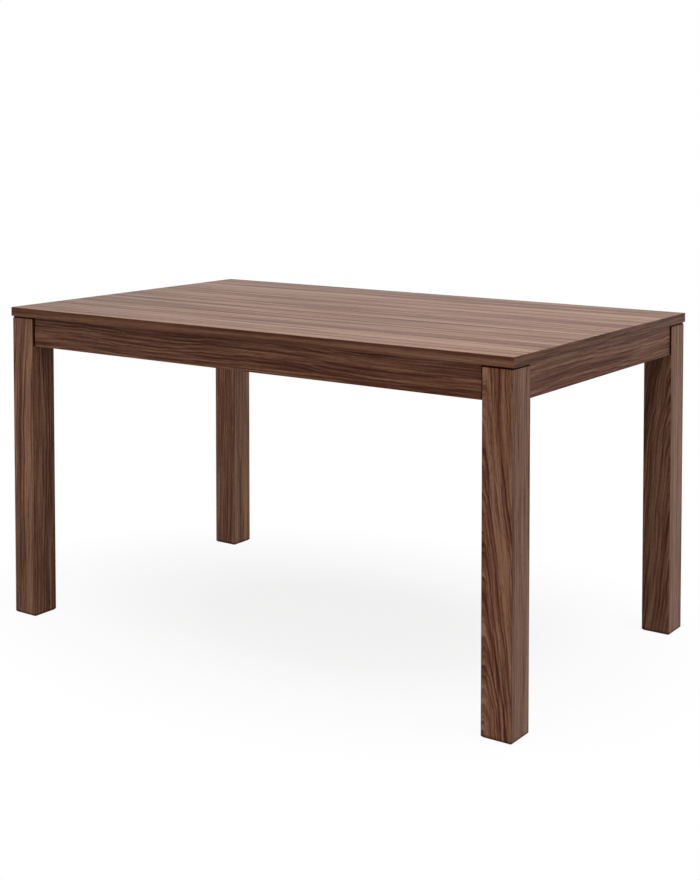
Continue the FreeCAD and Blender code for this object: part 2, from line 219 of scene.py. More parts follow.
def walnut_group():
    """Node group of the walnut figure."""
    tree, given, put = figure_group(
        "walnut_figure",
        ("Along", "Across", "Leaf", "Arc", "Rings", "Shade", "Dull", "Contrast", "Painted Sheen"))
    depth = ring_depth(tree, given)
    late = calc(tree, "MULTIPLY", late_wood(tree, given, depth), LATE_WEIGHT)
    band_spot = vector(tree, calc(tree, "MULTIPLY", depth, BAND_WAVES), BAND_ROW, given["Leaf"])
    bands = noise(tree, band_spot, BAND_DETAIL, BAND_ROUGHNESS)
    streaks = layer(tree, given, *STREAKS)
    fibres = layer(tree, given, *FIBRES)
    pores = between(tree, layer(tree, given, *PORES), PORE_EDGE)
    tone = calc(tree, "ADD", centred(tree, bands, BAND_WEIGHT), centred(tree, streaks, STREAK_WEIGHT))
    tone = calc(tree, "ADD", tone, centred(tree, fibres, FIBRE_WEIGHT))
    tone = calc(tree, "SUBTRACT", calc(tree, "ADD", tone, TONE_BASE), late)
    tone = calc(tree, "ADD", centred(tree, tone, given["Contrast"]), 0.5)
    colour = ramp(tree, tone, WALNUT_TONES)
    colour = blend_colour(tree, calc(tree, "MULTIPLY", pores, PORE_SHARE), colour, WALNUT_PORE)
    # Shade multiplies the colour: each leaf's tone, and on some faces painted light and shade.
    shade = add_node(tree, "ShaderNodeCombineColor", {channel: given["Shade"] for channel in range(3)})
    colour = blend_colour(tree, 1.0, colour, shade.outputs[0], "MULTIPLY")
    # Painted sheen: a share of greyish colour that stands in for the lacquer's reflection.
    colour = blend_colour(tree, given["Painted Sheen"], colour, WALNUT_SHEEN_GREY)
    worn = between(tree, tone, WEAR_TONES, WEAR, -WEAR)
    tree.links.new(colour, put["Color"])
    tree.links.new(calc(tree, "ADD", given["Dull"], worn), put["Roughness"])
    height = calc(tree, "SUBTRACT", calc(tree, "MULTIPLY", fibres, FIBRE_RELIEF), pores)
    tree.links.new(height, put["Height"])
    return tree


walnut_figure = walnut_group()
LEAF_STEP = 4.6
LACQUER_DULL = 0.54
LACQUER_SHEEN = 0.15
VENEER_CONTRAST = 1.12
VENEER_BUMP = 0.35
VENEER_RELIEF = 0.0002
FACING_LIMIT = 0.7


def new_material(name):
    """Material with its tree and its shader."""
    material = bpy.data.materials.new(name)
    material.use_nodes = True
    tree = material.node_tree
    return material, tree, tree.nodes["Principled BSDF"]


def bump(tree, shader, height, strength, distance):
    """Relief from a height, fed to the shader."""
    relief = add_node(tree, "ShaderNodeBump", {"Height": height, "Strength": strength, "Distance": distance})
    tree.links.new(relief.outputs[0], shader.inputs["Normal"])


def own_axes(tree, what="Object"):
    """Place on the piece or, with Normal, the way its surface looks, as three sockets."""
    spots = add_node(tree, "ShaderNodeTexCoord").outputs
    return add_node(tree, "ShaderNodeSeparateXYZ", {"Vector": spots[what]}).outputs


def facing(tree, axis):
    """1 on faces that look along an axis, either way, and 0 elsewhere."""
    look = calc(tree, "ABSOLUTE", own_axes(tree, "Normal")[axis])
    return calc(tree, "GREATER_THAN", look, FACING_LIMIT)


def by_leaf(tree, number, values):
    """Value that belongs to the leaf with a number. A single value holds for all leaves."""
    chosen = values[0]
    for step, value in enumerate(values[1:]):
        chosen = pick(tree, calc(tree, "GREATER_THAN", number, step + 0.5), chosen, value)
    return chosen


def veneer(
        name, lay, leaf, arc, rings, shades, sheen_greys=(0.0,), contrasts=(VENEER_CONTRAST,),
        dull=LACQUER_DULL, sheen=LACQUER_SHEEN, painted_shade=None):
    """Lacquered veneer. lay gives the place along and across the grain, and the number of the leaf."""
    material, tree, shader = new_material(name)
    along, across, number = lay(tree)
    leaf = calc(tree, "ADD", calc(tree, "MULTIPLY", number, LEAF_STEP), leaf)
    laid = {
        "Along": along, "Across": across, "Leaf": leaf, "Arc": arc, "Rings": rings, "Dull": dull,
        "Shade": by_leaf(tree, number, shades), "Painted Sheen": by_leaf(tree, number, sheen_greys),
        "Contrast": by_leaf(tree, number, contrasts)}
    figure = add_node(tree, "ShaderNodeGroup", laid, node_tree=walnut_figure).outputs
    colour = figure["Color"]
    roughness = figure["Roughness"]
    # Painted shade: black-brown and dull where the mask says.
    if painted_shade:
        shade_mask = painted_shade(tree)
        colour = blend_colour(tree, shade_mask, colour, PAINTED_SHADE_BLACK)
        roughness = pick(tree, shade_mask, roughness, PAINTED_SHADE_DULL)
    tree.links.new(colour, shader.inputs["Base Color"])
    tree.links.new(roughness, shader.inputs["Roughness"])
    shader.inputs["Specular IOR Level"].default_value = sheen
    bump(tree, shader, figure["Height"], VENEER_BUMP, VENEER_RELIEF)
    return material


def lay_upright(corner):
    """Way to lay veneer upright on a leg. On its front and back the rings close into flames."""
    low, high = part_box(f"leg_{corner}")
    flame_x = (low[0] + high[0]) / 2 + FLAME_ASIDE[corner]

    def lay(tree):
        x, y, z = own_axes(tree)
        side = facing(tree, "X")
        wander = noise(tree, vector(tree, calc(tree, "MULTIPLY", z, WANDER_WAVES), 0.0, 0.0), WANDER_DETAIL)
        off = calc(tree, "ADD", x, centred(tree, wander, FLAME_WANDER))
        off = calc(tree, "SUBTRACT", off, flame_x)
        flame = calc(tree, "SQRT", calc(tree, "MULTIPLY_ADD", off, off, FLAME_DEPTH ** 2))
        flame = calc(tree, "ADD", calc(tree, "MULTIPLY_ADD", z, FLAME_TAPER[corner], flame), y)
        return z, pick(tree, side, flame, calc(tree, "ADD", x, y)), side
    return lay


def painted_reveal_shade(corner):
    """Painted shade on a leg's upper end deep in the gap under the top, on its foot near the floor, and on
    its sides where the open joints would show them.
    """
    low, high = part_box(f"leg_{corner}")
    apron_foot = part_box("long_apron_front")[0][2]
    signs = [math.copysign(1, low[axis]) for axis in range(2)]
    outer = [max(abs(low[axis]), abs(high[axis])) for axis in range(2)]

    def mask(tree):
        spot = own_axes(tree)
        look = own_axes(tree, "Normal")
        joints = []
        for axis, other in ((0, 1), (1, 0)):
            inward = calc(tree, "MULTIPLY", look[axis], -signs[axis])
            inward = calc(tree, "GREATER_THAN", inward, PAINTED_SHADE_FACING)
            depth = calc(tree, "SUBTRACT", outer[other], calc(tree, "MULTIPLY", spot[other], signs[other]))
            joints.append(calc(tree, "MULTIPLY", inward, between(tree, depth, PAINTED_SHADE_DEPTH, 1.0, 0.0)))
        beside_apron = calc(tree, "GREATER_THAN", spot["Z"], apron_foot)
        joint = calc(tree, "MULTIPLY", calc(tree, "MAXIMUM", *joints), beside_apron)
        # Painted shade on the upper end, seen deep in the gap under the top.
        upper = calc(tree, "GREATER_THAN", look["Z"], PAINTED_SHADE_FACING)
        # Painted contact shadow on the downward chamfer and the lowest few millimetres of the foot.
        foot = between(tree, look["Z"], FOOT_SLOPE, 0.0, FOOT_PAINTED_SHADE)
        foot = calc(tree, "MAXIMUM", foot, between(tree, spot["Z"], FOOT_SHADE_BAND, FOOT_PAINTED_SHADE, 0.0))
        return calc(tree, "MAXIMUM", joint, calc(tree, "MAXIMUM", upper, foot))
    return mask


def dress(node, material):
    """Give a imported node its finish."""
    for slot in nodes[node].material_slots:
        slot.material = material


for corner in CORNERS:
    leg_walnut = veneer(
        f"leg_walnut_{corner}", lay_upright(corner), rings=LEG_RINGS, contrasts=(LEG_CONTRAST,),
        sheen=LEG_SHEEN, painted_shade=painted_reveal_shade(corner), **LEG_LEAVES[corner])
    dress(f"leg_{corner}", leg_walnut)

# Glides: discs moulded from dark brown nylon with a chamfered edge, one set under each leg's foot. The
# floor has scuffed them, so they are mottled and dull.
NYLON = ((0.022, 0.016, 0.012), (0.050, 0.041, 0.034))
NYLON_MOTTLE = (240.0, 240.0, 240.0)
NYLON_ROUGHNESS = (0.45, 0.60)
MOTTLE_EDGE = (0.3, 0.7)
MOTTLE_DETAIL = 4.0
MOTTLE_ROUGHNESS = 0.6
MOTTLE_BUMP = 0.3
FINE_RELIEF = 0.0001


def mottled(name, tones, waves, roughness, relief=FINE_RELIEF, more=None):
    """Finish of two close tones, mottled with waves per metre on each axis, and more shader values."""
    material, tree, shader = new_material(name)
    spot = [calc(tree, "MULTIPLY", axis, wave) for axis, wave in zip(own_axes(tree), waves)]
    mottle = noise(tree, vector(tree, *spot), MOTTLE_DETAIL, MOTTLE_ROUGHNESS)
    tree.links.new(ramp(tree, mottle, list(zip(MOTTLE_EDGE, tones))), shader.inputs["Base Color"])
    tree.links.new(between(tree, mottle, MOTTLE_EDGE, *roughness), shader.inputs["Roughness"])
    bump(tree, shader, mottle, MOTTLE_BUMP, relief)
    for socket, value in (more or {}).items():
        shader.inputs[socket].default_value = value
    return material


glide_nylon = mottled("glide_nylon", NYLON, NYLON_MOTTLE, NYLON_ROUGHNESS)
for corner in CORNERS:
    dress(f"leg_glide_{corner}", glide_nylon)

# Leg plates and angle brackets: steel sheet, cut or bent, with a black powder coat that is slightly
# pebbled. The plates are screwed down into the legs and up into the top, and the brackets are screwed to
# the legs and the long aprons.
BLACK_COAT = ((0.020, 0.0065, 0.002), (0.030, 0.011, 0.004))
BLACK_MOTTLE = (900.0, 900.0, 900.0)
BLACK_ROUGHNESS = (0.62, 0.75)
BLACK_SHEEN = {"Specular IOR Level": 0.04}
black_steel = mottled("black_steel", BLACK_COAT, BLACK_MOTTLE, BLACK_ROUGHNESS, more=BLACK_SHEEN)
for corner in CORNERS:
    dress(f"leg_plate_{corner}", black_steel)
    dress(f"apron_bracket_{corner}", black_steel)

# Long aprons: boards under the long sides, between the legs, with walnut veneer along their length. They
# hang from the top on battens, and angle brackets tie them to the legs.
APRON_ARC = 0.45
APRON_RINGS = 90.0
LONG_APRON_SHADE = 0.93
LONG_APRON_LEAVES = {"front": 22.3, "back": 27.8}


def lay_lengthwise(tree):
    """Grain along the table."""
    x, y, z = own_axes(tree)
    return x, calc(tree, "ADD", y, z), facing(tree, "Z")


for side, leaf in LONG_APRON_LEAVES.items():
    apron_walnut = veneer(
        f"apron_walnut_{side}", lay_lengthwise, leaf, APRON_ARC, APRON_RINGS, (LONG_APRON_SHADE,))
    dress(f"long_apron_{side}", apron_walnut)

# Inner woodwork: battens, bearers, rails, runners and glue blocks of planed beech, left clear, with the
# short dark flecks that beech shows on every face. They are screwed or glued to each other and the top.
BEECH_BANDS = (1.3, 34.0, 0.0, 4.0, 0.6)
BEECH_BAND_WEIGHT = 1.3
BEECH_FIBRES = (14.0, 520.0, 2.4, 3.0)
BEECH_FIBRE_WEIGHT = 0.7
BEECH_FLECKS = (150.0, 950.0, 5.2, 1.0)
FLECK_EDGE = (0.61, 0.67)
FLECK_SHARE = 0.5
FLECK_BROWN = (0.25, 0.135, 0.07, 1)
BEECH_SPAN = (0.2, 0.8)
BEECH_TONES = ((0.38, 0.225, 0.12), (0.54, 0.36, 0.21))
BEECH_ROUGHNESS = (0.62, 0.50)
BEECH_SHEEN = 0.3
BEECH_BUMP = 0.3
BEECH_RELIEF = 0.0002


def beech_group():
    """Node group of the beech grain."""
    tree, given, put = figure_group("beech_grain", ("Along", "Across", "Leaf"))
    bands = centred(tree, layer(tree, given, *BEECH_BANDS), BEECH_BAND_WEIGHT)
    fibres = layer(tree, given, *BEECH_FIBRES)
    flecks = between(tree, layer(tree, given, *BEECH_FLECKS), FLECK_EDGE)
    tone = calc(tree, "ADD", bands, centred(tree, fibres, BEECH_FIBRE_WEIGHT))
    tone = calc(tree, "ADD", tone, 0.5)
    colour = ramp(tree, tone, list(zip(BEECH_SPAN, BEECH_TONES)))
    colour = blend_colour(tree, calc(tree, "MULTIPLY", flecks, FLECK_SHARE), colour, FLECK_BROWN)
    tree.links.new(colour, put["Color"])
    tree.links.new(between(tree, tone, BEECH_SPAN, *BEECH_ROUGHNESS), put["Roughness"])
    tree.links.new(calc(tree, "SUBTRACT", fibres, flecks), put["Height"])
    return tree


beech_grain = beech_group()


def beech(name, along):
    """Planed beech with its grain along one axis."""
    material, tree, shader = new_material(name)
    axes = own_axes(tree)
    across = calc(tree, "ADD", *[axes[axis] for axis in "XYZ" if axis != along])
    laid = {"Along": axes[along], "Across": across}
    grain = add_node(tree, "ShaderNodeGroup", laid, node_tree=beech_grain).outputs
    tree.links.new(grain["Color"], shader.inputs["Base Color"])
    tree.links.new(grain["Roughness"], shader.inputs["Roughness"])
    shader.inputs["Specular IOR Level"].default_value = BEECH_SHEEN
    bump(tree, shader, grain["Height"], BEECH_BUMP, BEECH_RELIEF)
    return material


beech_along = beech("beech_lengthwise", "X")
beech_cross = beech("beech_crosswise", "Y")
for side in ("front", "back"):
    dress(f"fixing_batten_{side}", beech_along)
    dress(f"slide_bearer_{side}", beech_along)
for side in ("left", "right"):
    dress(f"leaf_rail_{side}", beech_cross)
    dress(f"end_cross_rail_{side}", beech_cross)
    dress(f"runner_blocks_{side}", beech_cross)
for corner in CORNERS:
    dress(f"runner_{corner}", beech_along)

# Screws: countersunk wood screws with a cross recess, of zinc-plated steel. They are driven flush into
# the leg plates, the brackets and the cross rails.
ZINC = ((0.50, 0.51, 0.52), (0.66, 0.67, 0.68))
ZINC_MOTTLE = (12.0, 60.0, 60.0)
ZINC_ROUGHNESS = (0.30, 0.42)
SCREW_HEAD = 0.0040
SCREW_CORE = 0.0019
SCREW_SINK = 0.0020
SCREW_TIP = 0.0050
SCREW_POINT = SCREW_CORE / 8
RECESS_REACH = 0.0022
RECESS_HALF = 0.00055
RECESS_DEPTH = 0.0014
RECESS_TAPER = 0.6
SCREW_STEPS = 24
SAME_POINT = 0.00001
SMOOTH_ANGLE = 0.6
zinc_steel = mottled("zinc_steel", ZINC, ZINC_MOTTLE, ZINC_ROUGHNESS, more={"Metallic": 1.0})


def ring(bm, radius, height):
    """Ring of points round the upright axis."""
    turns = [2 * math.pi * step / SCREW_STEPS for step in range(SCREW_STEPS)]
    return [bm.verts.new((radius * math.cos(turn), radius * math.sin(turn), height)) for turn in turns]


def join_rings(bm, *rings):
    """Faces from each ring of points to the next, with as many points each."""
    for first, second in zip(rings, rings[1:]):
        for step in range(len(first)):
            bm.faces.new((first[step - 1], first[step], second[step], second[step - 1]))


def recess_outline():
    """Outline of the cross recess: one arm, and three more turned from it by quarters."""
    arm = [(RECESS_REACH, -RECESS_HALF), (RECESS_REACH, RECESS_HALF), (RECESS_HALF, RECESS_HALF)]
    outline = []
    for _ in range(4):
        outline += arm
        arm = [(-y, x) for x, y in arm]
    return outline


def screw_mesh(length):
    """One screw, its head flush at the origin and its tip up."""
    bm = bmesh.new()
    cross = recess_outline()
    mouth = [bm.verts.new((x, y, 0)) for x, y in cross]
    pit = [bm.verts.new((x * RECESS_TAPER, y * RECESS_TAPER, RECESS_DEPTH)) for x, y in cross]
    join_rings(bm, mouth, pit)
    bm.faces.new(pit)
    rim = ring(bm, SCREW_HEAD, 0)
    edges = [bm.edges.new((rim[step - 1], rim[step])) for step in range(SCREW_STEPS)]
    edges += [bm.edges.get((mouth[step - 1], mouth[step])) for step in range(len(mouth))]
    bmesh.ops.triangle_fill(bm, edges=edges, use_beauty=True)
    neck = ring(bm, SCREW_CORE, SCREW_SINK)
    core = ring(bm, SCREW_CORE, length - SCREW_TIP)
    tip = ring(bm, SCREW_POINT, length)
    join_rings(bm, rim, neck, core, tip)
    bm.faces.new(tip)
    mesh = bpy.data.meshes.new("screw")
    bm.to_mesh(mesh)
    bm.free()
    return mesh


def islands(bm):
    """Groups of points that edges join."""
    seen = set()
    groups = []
    for start in bm.verts:
        if start in seen:
            continue
        seen.add(start)
        island = [start]
        for vert in island:
            for edge in vert.link_edges:
                other = edge.other_vert(vert)
                if other not in seen:
                    seen.add(other)
                    island.append(other)
        groups.append(island)
    return groups


def screw_places(node):
    """Head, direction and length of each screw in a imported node."""
    bm = bmesh.new()
    bm.from_mesh(nodes[node].data)
    bmesh.ops.remove_doubles(bm, verts=bm.verts, dist=SAME_POINT)
    places = []
    for island in islands(bm):
        low = Vector([min(vert.co[axis] for vert in island) for axis in range(3)])
        high = Vector([max(vert.co[axis] for vert in island) for axis in range(3)])
        axis = max(range(3), key=lambda k: high[k] - low[k])
        middle = (low + high) / 2
        widest = max(island, key=lambda vert: (vert.co - middle).length - abs(vert.co[axis] - middle[axis]))
        head_low = widest.co[axis] < middle[axis]
        head = middle.copy()
        head[axis] = low[axis] if head_low else high[axis]
        way = Vector((0, 0, 0))
        way[axis] = 1 if head_low else -1
        places.append((head, way, high[axis] - low[axis]))
    bm.free()
    return places


def put_screws(bm, places):
    """Screws at their places, added to a mesh under construction."""
    for head, way, length in places:
        mesh = screw_mesh(length)
        count = len(bm.verts)
        bm.from_mesh(mesh)
        bpy.data.meshes.remove(mesh)
        turn = Vector((0, 0, 1)).rotation_difference(way).to_matrix().to_4x4()
        bm.verts.ensure_lookup_table()
        bmesh.ops.transform(bm, matrix=Matrix.Translation(head) @ turn, verts=bm.verts[count:])


def new_piece(name, bm):
    """Object from a mesh under construction, with its faces turned outwards."""
    bmesh.ops.recalc_face_normals(bm, faces=bm.faces)
    mesh = bpy.data.meshes.new(name)
    bm.to_mesh(mesh)
    bm.free()
    piece = bpy.data.objects.new(name, mesh)
    bpy.context.scene.collection.objects.link(piece)
    return piece


def finish_piece(name, bm, material):
    """Piece with its finish, smooth except at its sharp edges."""
    for face in bm.faces:
        face.smooth = True
    piece = new_piece(name, bm)
    piece.data.set_sharp_from_angle(angle=SMOOTH_ANGLE)
    piece.data.materials.append(material)
    return piece


for node in ("leg_plate_screws", "bracket_screws", "rail_screws"):
    bm = bmesh.new()
    put_screws(bm, screw_places(node))
    screws = finish_piece(f"recessed_{node}", bm, zinc_steel)
    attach(screws, "frame")
    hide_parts(node)

# Telescopic slides: three members each, rolled from zinc-plated steel, running on caged steel balls. The
# outer one is screwed to its bearer and the inner one to its runner. A section has the corners of its
# upper half, across from the bearer and up from the middle, each with its bend radius.
SLIDE_SHEET = 0.0012
BEND_STEPS = 4
OUTER_CORNERS = ((0.0116, 0.0146, 0.0), (0.0116, 0.0169, 0.0016), (0.0006, 0.0169, 0.0021))
MIDDLE_CORNERS = ((0.0116, 0.0136, 0.0), (0.0116, 0.0121, 0.0012), (0.0025, 0.0121, 0.0020))
INNER_CORNERS = ((0.0058, 0.0087, 0.0), (0.0058, 0.0072, 0.0012), (0.0121, 0.0072, 0.0018))
BALL_RADIUS = 0.0018
BALL_DIVISIONS = 2
OUTER_BALLS = (0.0072, 0.0145)
INNER_BALLS = (0.0088, 0.00965)
CAGE_LENGTH = 0.200
CAGE_INSET = 0.012
CAGE_BALLS = 8
CAGE_HALF = 0.0022
CAGE_LIP = 0.0008
CAGE_SHEET = 0.0005
SLOT_LENGTH = 0.036
SLOT_HALF = 0.0045
SLOT_STEPS = 16
SLOT_CUT = 0.002
SLOT_PLACES = (0.14, 0.40, 0.66, 0.90)
SLIDE_SCREW_PLACES = (0.08, 0.36, 0.64, 0.94)
SLIDE_SCREW_LENGTH = 0.014
SLIDE_SCREW_PROUD = 0.0002


def bent_line(corners):
    """Middle line of bent sheet, with its corners rounded and its lower half mirrored."""
    whole = [(Vector((across, up)), radius) for across, up, radius in corners]
    whole += [(Vector((across, -up)), radius) for across, up, radius in reversed(corners)]
    line = []
    for number, (corner, radius) in enumerate(whole):
        if not radius:
            line.append(corner)
            continue
        back = (whole[number - 1][0] - corner).normalized() * radius
        ahead = (whole[number + 1][0] - corner).normalized() * radius
        for step in range(BEND_STEPS + 1):
            turn = math.pi / 2 * step / BEND_STEPS
            line.append(corner + back * (1 - math.sin(turn)) + ahead * (1 - math.cos(turn)))
    return line


def sheet_outline(line):
    """Closed outline of bent sheet from its middle line."""
    sides = ([], [])
    for number, point in enumerate(line):
        ahead = line[min(number + 1, len(line) - 1)] - line[max(number - 1, 0)]
        out = Vector((-ahead.y, ahead.x)).normalized() * SLIDE_SHEET / 2
        sides[0].append(point + out)
        sides[1].append(point - out)
    return sides[0] + sides[1][::-1]


def prism(bm, first, last):
    """Closed prism between two outlines of placed points."""
    ends = [[bm.verts.new(point) for point in outline] for outline in (first, last)]
    join_rings(bm, *ends)
    bm.faces.new(ends[0])
    bm.faces.new(ends[1][::-1])


def rolled(bm, outline, first, last, place):
    """Rolled section from one place along a slide to another."""
    prism(bm, *[[place(along, across, up) for across, up in outline] for along in (first, last)])


def slot_outline(middle):
    """Outline of a long hole with round ends, along and up, about a place along a slide."""
    outline = []
    for step in range(SLOT_STEPS):
        turn = 2 * math.pi * (step + 0.5) / SLOT_STEPS
        end = middle + math.copysign(SLOT_LENGTH / 2, math.cos(turn))
        outline.append((end + SLOT_HALF * math.cos(turn), SLOT_HALF * math.sin(turn)))
    return outline


def slotted(piece, place, web, length):
    """Long holes cut through a member's web."""
    bm = bmesh.new()
    for share in SLOT_PLACES:
        outline = slot_outline(length * share)
        sides = (web - SLOT_CUT, web + SLOT_CUT)
        prism(bm, *[[place(along, across, up) for along, up in outline] for across in sides])
    cutter = new_piece("slots", bm)
    cut = piece.modifiers.new("slots", "BOOLEAN")
    cut.object = cutter
    cut.solver = "EXACT"
    whole = piece.evaluated_get(bpy.context.evaluated_depsgraph_get())
    piece.data = bpy.data.meshes.new_from_object(whole)
    piece.modifiers.clear()
    bpy.data.objects.remove(cutter)


def cage(bm, balls, first, place):
    """Two bent strips with their balls, above and below, from one place along a slide."""
    across, up = balls
    inner = CAGE_HALF - CAGE_SHEET
    strip = (
        (-CAGE_HALF, CAGE_LIP), (-CAGE_HALF, -CAGE_SHEET), (CAGE_HALF, -CAGE_SHEET), (CAGE_HALF, CAGE_LIP),
        (inner, CAGE_LIP), (inner, 0.0), (-inner, 0.0), (-inner, CAGE_LIP))
    for side in (1, -1):
        outline = [(across + x, side * (up + z)) for x, z in strip]
        rolled(bm, outline, first, first + CAGE_LENGTH, place)
        for number in range(CAGE_BALLS):
            along = first + CAGE_LENGTH * (number + 0.5) / CAGE_BALLS
            centre = Matrix.Translation(place(along, across, side * up))
            bmesh.ops.create_icosphere(bm, subdivisions=BALL_DIVISIONS, radius=BALL_RADIUS, matrix=centre)


for corner in CORNERS:
    at_back = "back" in corner
    at_right = "right" in corner
    end = "right" if at_right else "left"
    low, high = (Vector(point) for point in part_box(f"slide_outer_{corner}"))
    length = high.x - low.x
    towards_runner = Vector((0, -1 if at_back else 1, 0))

    def slide_place(along, across, up):
        """Point on this slide, along it from the table's middle and across it from its bearer."""
        x = low.x + along if at_right else high.x - along
        y = high.y - across if at_back else low.y + across
        return Vector((x, y, (low.z + high.z) / 2 + up))

    carried = (
        ("outer", OUTER_CORNERS, "frame"), ("middle", MIDDLE_CORNERS, f"slide_middles_{end}"),
        ("inner", INNER_CORNERS, f"pull_out_end_{end}"))
    for member, corners, body in carried:
        bm = bmesh.new()
        rolled(bm, sheet_outline(bent_line(corners)), 0.0, length, slide_place)
        web = corners[-1][0]
        if member == "middle":
            cage(bm, OUTER_BALLS, CAGE_INSET, slide_place)
            cage(bm, INNER_BALLS, length - CAGE_LENGTH - CAGE_INSET, slide_place)
        else:
            way = -towards_runner if member == "outer" else towards_runner
            inside = web + SLIDE_SHEET / 2 if member == "outer" else web - SLIDE_SHEET / 2
            heads = [slide_place(length * share, inside, 0.0) for share in SLIDE_SCREW_PLACES]
            put_screws(bm, [(head - way * SLIDE_SCREW_PROUD, way, SLIDE_SCREW_LENGTH) for head in heads])
        piece = finish_piece(f"rolled_{member}_{corner}", bm, zinc_steel)
        if member == "middle":
            slotted(piece, slide_place, web, length)
        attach(piece, body)
        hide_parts(f"slide_{member}_{corner}")

# Extension leaves: two panels veneered and edged in walnut like the top, so that they match it once they
# are laid. They are stored crosswise under it, one over the other, loose on felt pads.
TOP_ARC = 0.3
TOP_RINGS = 70.0
TOP_STRETCH = 0.45
TOP_DULL = 0.45
TOP_SHEEN = 0.10
FACE_SHADE = 1.20
# Painted sheen: a grey share on the faces of the top and the stored leaves, standing in for part of the
# lacquer's reflection.
FACE_SHEEN_GREY = 0.26
FACE_CONTRAST = 1.45
BANDING_SHADE = 0.90
BANDING_CONTRAST = 0.6
STORED_LEAVES = {"lower": 41.7, "upper": 46.2}


def lay_leaf(tree):
    """Grain along the stored leaf's width, which lines up with the top once it is turned and laid."""
    x, y, z = own_axes(tree)
    return calc(tree, "MULTIPLY", y, TOP_STRETCH), calc(tree, "ADD", x, z), facing(tree, "Z")


# Their faces carry the top's painted sheen.
for level, leaf in STORED_LEAVES.items():
    leaf_walnut = veneer(
        f"leaf_walnut_{level}", lay_leaf, leaf, TOP_ARC, TOP_RINGS, (BANDING_SHADE, FACE_SHADE),
        (0.0, FACE_SHEEN_GREY), (BANDING_CONTRAST, FACE_CONTRAST), TOP_DULL, TOP_SHEEN)
    dress(f"leaf_{level}", leaf_walnut)

# Felt pads: squares of grey felt with rounded corners, and edges that bulge a little. They are glued on
# the leaf rails and between the leaves, so that nothing is scratched.
FELT = ((0.035, 0.033, 0.032), (0.075, 0.072, 0.070))
FELT_MOTTLE = (1500.0, 1500.0, 1500.0)
FELT_ROUGHNESS = (0.85, 0.95)
FELT_RELIEF = 0.0003
FELT_FUZZ = {"Sheen Weight": 0.4}
PAD_HALF = 0.015
FELT_SIDE = 0.0296
FELT_CORNER = 0.004
FELT_HALF = FELT_SIDE / 2 - FELT_CORNER
FELT_STEPS = 4
FELT_THICKNESS = 0.0010
FELT_PULL = 0.0004
FELT_LAYERS = ((1.0, 0.0), (1.0 + FELT_PULL / FELT_HALF, 0.5), (1.0, 1.0))
pad_felt = mottled("pad_felt", FELT, FELT_MOTTLE, FELT_ROUGHNESS, FELT_RELIEF, FELT_FUZZ)


def felt_outline():
    """Outline of a pad about its middle, with rounded corners."""
    outline = []
    for quarter, (sign_x, sign_y) in enumerate(((1, 1), (-1, 1), (-1, -1), (1, -1))):
        for step in range(FELT_STEPS + 1):
            turn = math.pi / 2 * (quarter + step / FELT_STEPS)
            x = sign_x * FELT_HALF + FELT_CORNER * math.cos(turn)
            y = sign_y * FELT_HALF + FELT_CORNER * math.sin(turn)
            outline.append((x, y))
    return outline


def put_felt(bm, middle):
    """One pad, from the middle of its lower face, added to a mesh under construction."""
    rings = []
    for grow, rise in FELT_LAYERS:
        points = [Vector((x * grow, y * grow, FELT_THICKNESS * rise)) for x, y in felt_outline()]
        rings.append([bm.verts.new(middle + point) for point in points])
    join_rings(bm, *rings)
    bm.faces.new(rings[0][::-1])
    bm.faces.new(rings[-1])


pad_low, pad_high = (Vector(point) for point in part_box("leaf_pads"))
bm = bmesh.new()
for level in (pad_low.z, pad_high.z - FELT_THICKNESS):
    for x in (pad_low.x + PAD_HALF, pad_high.x - PAD_HALF):
        for y in (pad_low.y + PAD_HALF, pad_high.y - PAD_HALF):
            put_felt(bm, Vector((x, y, level)))
felts = finish_piece("felt_pads", bm, pad_felt)
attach(felts, "frame")
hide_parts("leaf_pads")

# End aprons: boards with walnut veneer across the table, the fronts of the two pull-out ends. The runners
# are glued behind them with blocks.
# The end aprons are darker than the long aprons: partly their tone, partly painted shade that offsets the
# side lamp on the end faces.
END_APRON_SHADE = 0.72
END_APRON_CONTRAST = 0.9
END_APRON_LEAVES = {"left": 33.6, "right": 37.4}


def lay_crosswise(tree):
    """Grain across the table."""
    x, y, z = own_axes(tree)
    return y, calc(tree, "ADD", x, z), facing(tree, "Z")


for side, leaf in END_APRON_LEAVES.items():
    end_walnut = veneer(
        f"end_walnut_{side}", lay_crosswise, leaf, APRON_ARC, APRON_RINGS, (END_APRON_SHADE,),
        contrasts=(END_APRON_CONTRAST,))
    dress(f"end_apron_{side}", end_walnut)

# Top: one undivided panel with walnut veneer along its length and eased edges. The banding on each edge
# has a figure that follows the edge. The leg plates are screwed up into it from below.
TOP_LEAF = 57.1
# The end banding is darker: partly its tone, partly painted shade that offsets the side lamp and grazing
# sheen on the end faces.
END_BANDING_SHADE = 0.56
END_BANDING_CONTRAST = 1.0
TOP_SHADES = (FACE_SHADE, END_BANDING_SHADE, BANDING_SHADE)
TOP_SHEEN_GREYS = (FACE_SHEEN_GREY, 0.0, 0.0)
TOP_CONTRASTS = (FACE_CONTRAST, END_BANDING_CONTRAST, BANDING_CONTRAST)


def lay_top(tree):
    """Grain along the top or its end banding. The face is leaf 0, end bandings 1 and long ones 2."""
    x, y, z = own_axes(tree)
    end = facing(tree, "X")
    along = pick(tree, end, calc(tree, "MULTIPLY", x, TOP_STRETCH), y)
    across = pick(tree, end, calc(tree, "ADD", y, z), calc(tree, "ADD", x, z))
    return along, across, calc(tree, "MULTIPLY_ADD", facing(tree, "Y"), 2.0, end)


top_walnut = veneer(
    "top_walnut", lay_top, TOP_LEAF, TOP_ARC, TOP_RINGS, TOP_SHADES, TOP_SHEEN_GREYS, TOP_CONTRASTS,
    TOP_DULL, TOP_SHEEN)
dress("table_top", top_walnut)

